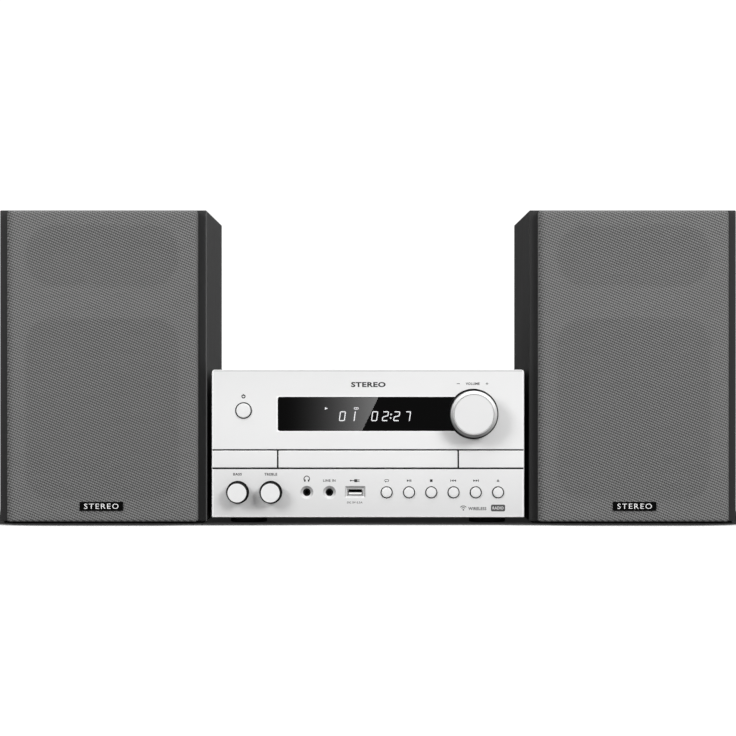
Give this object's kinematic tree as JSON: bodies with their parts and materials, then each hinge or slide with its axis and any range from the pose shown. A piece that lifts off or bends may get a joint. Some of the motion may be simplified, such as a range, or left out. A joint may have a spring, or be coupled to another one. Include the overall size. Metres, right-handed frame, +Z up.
{
  "type": "mini hifi system",
  "caption": "Mini hifi system: CD receiver with slide-out disc tray, display, rotary knobs and push keys, beside free-standing speakers with pull-off cloth grilles.",
  "frame": {"origin": "on the resting plane, under the centre of the set's bounding box, which is the middle of the receiver", "axes": "+Z up; -Y is the front, the side with the display, keys and grilles; +X is the listener's right when facing the front"},
  "size_m": [0.6352, 0.274, 0.27],
  "materials": {
    "front_panel": "fine satin, silver",
    "front_subframe": "moulded, matt black",
    "display_lens": "smoked, high gloss",
    "display_module": "dark module housing",
    "top_cover": "fine textured black paint",
    "bottom_chassis": "plated sheet",
    "rear_panel": "black paint",
    "unit_feet": "moulded, matt",
    "main_board": "green laminate with parts",
    "heatsink": "extruded, mill finish",
    "power_supply": "laminated core, varnished",
    "control_board": "green laminate with parts",
    "key_switches": "black parts",
    "rotary_controls": "black parts",
    "audio_jacks": "black",
    "usb_port": "nickel plated",
    "rear_terminals": "black",
    "antenna_socket": "nickel plated",
    "loader_base": "moulded, matt black",
    "clamp_bridge": "moulded, matt black",
    "loading_motor": "plated can",
    "drive_belt": "ground square belt",
    "unit_screws": "blackened, cross recess",
    "cd_tray": "moulded, matt black",
    "tray_door": "fine satin, silver",
    "tray_gear": "natural moulded acetal",
    "pulley_gear": "natural moulded acetal",
    "motor_pulley": "natural moulded acetal",
    "traverse_deck": "plated sheet and rods",
    "turntable": "black with rubber ring",
    "clamp_puck": "natural moulded acetal",
    "laser_sled": "moulded, matt black",
    "volume_knob": "spun satin, silver",
    "bass_knob": "spun satin, silver",
    "treble_knob": "spun satin, silver",
    "power_button": "metallised silver, smooth",
    "source_button": "metallised silver, smooth",
    "play_button": "metallised silver, smooth",
    "stop_button": "metallised silver, smooth",
    "back_button": "metallised silver, smooth",
    "next_button": "metallised silver, smooth",
    "eject_button": "metallised silver, smooth",
    "left_cabinet": "fibreboard with black vinyl wrap",
    "left_woofer_basket": "pressed steel, black",
    "left_woofer_surround": "moulded half roll",
    "left_tweeter_body": "moulded faceplate, black",
    "left_terminal_cup": "moulded cup, black",
    "left_grille_frame": "moulded, matt black",
    "left_grille_cloth": "woven dark grey speaker cloth",
    "left_woofer_cone": "coated pulp cone",
    "left_tweeter_dome": "doped soft dome",
    "right_cabinet": "fibreboard with black vinyl wrap",
    "right_woofer_basket": "pressed steel, black",
    "right_woofer_surround": "moulded half roll",
    "right_tweeter_body": "moulded faceplate, black",
    "right_terminal_cup": "moulded cup, black",
    "right_grille_frame": "moulded, matt black",
    "right_grille_cloth": "woven dark grey speaker cloth",
    "right_woofer_cone": "coated pulp cone",
    "right_tweeter_dome": "doped soft dome"
  },
  "bodies": {
    "main_unit": {"front_panel": "front_panel", "front_subframe": "front_subframe", "display_lens": "display_lens", "display_module": "display_module", "top_cover": "top_cover", "bottom_chassis": "bottom_chassis", "rear_panel": "rear_panel", "unit_feet": "unit_feet", "main_board": "main_board", "heatsink": "heatsink", "power_supply": "power_supply", "control_board": "control_board", "key_switches": "key_switches", "rotary_controls": "rotary_controls", "audio_jacks": "audio_jacks", "usb_port": "usb_port", "rear_terminals": "rear_terminals", "antenna_socket": "antenna_socket", "loader_base": "loader_base", "clamp_bridge": "clamp_bridge", "loading_motor": "loading_motor", "drive_belt": "drive_belt", "unit_screws": "unit_screws"},
    "tray": {"cd_tray": "cd_tray", "tray_door": "tray_door"},
    "tray_gear": {"tray_gear": "tray_gear"},
    "pulley_gear": {"pulley_gear": "pulley_gear"},
    "motor_pulley": {"motor_pulley": "motor_pulley"},
    "traverse": {"traverse_deck": "traverse_deck"},
    "turntable": {"turntable": "turntable"},
    "clamp": {"clamp_puck": "clamp_puck"},
    "sled": {"laser_sled": "laser_sled"},
    "volume": {"volume_knob": "volume_knob"},
    "bass": {"bass_knob": "bass_knob"},
    "treble": {"treble_knob": "treble_knob"},
    "power_key": {"power_button": "power_button"},
    "source_key": {"source_button": "source_button"},
    "play_key": {"play_button": "play_button"},
    "stop_key": {"stop_button": "stop_button"},
    "back_key": {"back_button": "back_button"},
    "next_key": {"next_button": "next_button"},
    "eject_key": {"eject_button": "eject_button"},
    "left_speaker": {"left_cabinet": "left_cabinet", "left_woofer_basket": "left_woofer_basket", "left_woofer_surround": "left_woofer_surround", "left_tweeter_body": "left_tweeter_body", "left_terminal_cup": "left_terminal_cup"},
    "left_grille": {"left_grille_frame": "left_grille_frame", "left_grille_cloth": "left_grille_cloth"},
    "left_woofer": {"left_woofer_cone": "left_woofer_cone"},
    "left_tweeter": {"left_tweeter_dome": "left_tweeter_dome"},
    "right_speaker": {"right_cabinet": "right_cabinet", "right_woofer_basket": "right_woofer_basket", "right_woofer_surround": "right_woofer_surround", "right_tweeter_body": "right_tweeter_body", "right_terminal_cup": "right_terminal_cup"},
    "right_grille": {"right_grille_frame": "right_grille_frame", "right_grille_cloth": "right_grille_cloth"},
    "right_woofer": {"right_woofer_cone": "right_woofer_cone"},
    "right_tweeter": {"right_tweeter_dome": "right_tweeter_dome"}
  },
  "joints": [
    {"name": "tray_slide", "type": "slide", "parent": "main_unit", "child": "tray", "axis": [0, -1, 0], "range_m": [0, 0.14]},
    {"name": "tray_gear_spin", "type": "hinge", "parent": "main_unit", "child": "tray_gear", "pos_m": [-0.042, -0.088, 0.049], "axis": [0, 0, 1], "range_deg": [0, 690]},
    {"name": "pulley_gear_spin", "type": "hinge", "parent": "main_unit", "child": "pulley_gear", "pos_m": [-0.0228, -0.088, 0.045], "axis": [0, 0, 1], "range_deg": [-1150, 0]},
    {"name": "motor_pulley_spin", "type": "hinge", "parent": "main_unit", "child": "motor_pulley", "pos_m": [0.013, -0.088, 0.04], "axis": [0, 0, 1], "range_deg": [-3860, 0]},
    {"name": "traverse_tilt", "type": "hinge", "parent": "main_unit", "child": "traverse", "pos_m": [0, 0.048, 0.04125], "axis": [1, 0, 0], "range_deg": [0, 5]},
    {"name": "turntable_spin", "type": "hinge", "parent": "traverse", "child": "turntable", "pos_m": [0, -0.043, 0.036], "axis": [0, 0, 1], "continuous": true},
    {"name": "clamp_spin", "type": "hinge", "parent": "main_unit", "child": "clamp", "pos_m": [0, -0.043, 0.062], "axis": [0, 0, 1], "continuous": true},
    {"name": "sled_slide", "type": "slide", "parent": "traverse", "child": "sled", "axis": [0, 1, 0], "range_m": [0, 0.034]},
    {"name": "volume_turn", "type": "hinge", "parent": "main_unit", "child": "volume", "pos_m": [0.0908, -0.13, 0.0943], "axis": [0, 1, 0], "continuous": true},
    {"name": "bass_turn", "type": "hinge", "parent": "main_unit", "child": "bass", "pos_m": [-0.1125, -0.125, 0.0267], "axis": [0, 1, 0], "range_deg": [-140, 140]},
    {"name": "treble_turn", "type": "hinge", "parent": "main_unit", "child": "treble", "pos_m": [-0.0839, -0.125, 0.0267], "axis": [0, 1, 0], "range_deg": [-140, 140]},
    {"name": "power_press", "type": "slide", "parent": "main_unit", "child": "power_key", "axis": [0, 1, 0], "range_m": [0, 0.0008]},
    {"name": "source_press", "type": "slide", "parent": "main_unit", "child": "source_key", "axis": [0, 1, 0], "range_m": [0, 0.0008]},
    {"name": "play_press", "type": "slide", "parent": "main_unit", "child": "play_key", "axis": [0, 1, 0], "range_m": [0, 0.0008]},
    {"name": "stop_press", "type": "slide", "parent": "main_unit", "child": "stop_key", "axis": [0, 1, 0], "range_m": [0, 0.0008]},
    {"name": "back_press", "type": "slide", "parent": "main_unit", "child": "back_key", "axis": [0, 1, 0], "range_m": [0, 0.0008]},
    {"name": "next_press", "type": "slide", "parent": "main_unit", "child": "next_key", "axis": [0, 1, 0], "range_m": [0, 0.0008]},
    {"name": "eject_press", "type": "slide", "parent": "main_unit", "child": "eject_key", "axis": [0, 1, 0], "range_m": [0, 0.0008]},
    {"name": "left_speaker_place", "type": "slide", "parent": "main_unit", "child": "left_speaker", "axis": [-1, 0, 0], "range_m": [0, 0.3]},
    {"name": "left_grille_pull", "type": "slide", "parent": "left_speaker", "child": "left_grille", "axis": [0, -1, 0], "range_m": [0, 0.06]},
    {"name": "left_woofer_excursion", "type": "slide", "parent": "left_speaker", "child": "left_woofer", "axis": [0, -1, 0], "range_m": [-0.004, 0.004], "deforming": ["left_woofer_surround"]},
    {"name": "left_tweeter_excursion", "type": "slide", "parent": "left_speaker", "child": "left_tweeter", "axis": [0, -1, 0], "range_m": [-0.0003, 0.0003]},
    {"name": "right_speaker_place", "type": "slide", "parent": "main_unit", "child": "right_speaker", "axis": [1, 0, 0], "range_m": [0, 0.3]},
    {"name": "right_grille_pull", "type": "slide", "parent": "right_speaker", "child": "right_grille", "axis": [0, -1, 0], "range_m": [0, 0.06]},
    {"name": "right_woofer_excursion", "type": "slide", "parent": "right_speaker", "child": "right_woofer", "axis": [0, -1, 0], "range_m": [-0.004, 0.004], "deforming": ["right_woofer_surround"]},
    {"name": "right_tweeter_excursion", "type": "slide", "parent": "right_speaker", "child": "right_tweeter", "axis": [0, -1, 0], "range_m": [-0.0003, 0.0003]}
  ],
  "couplings": [
    {"joint": "tray_gear_spin", "follows": "tray_slide", "rad_per_m": 83.333},
    {"joint": "pulley_gear_spin", "follows": "tray_slide", "rad_per_m": -138.89},
    {"joint": "motor_pulley_spin", "follows": "tray_slide", "rad_per_m": -466.82},
    {"joint": "clamp_spin", "follows": "turntable_spin", "ratio": 1}
  ]
}
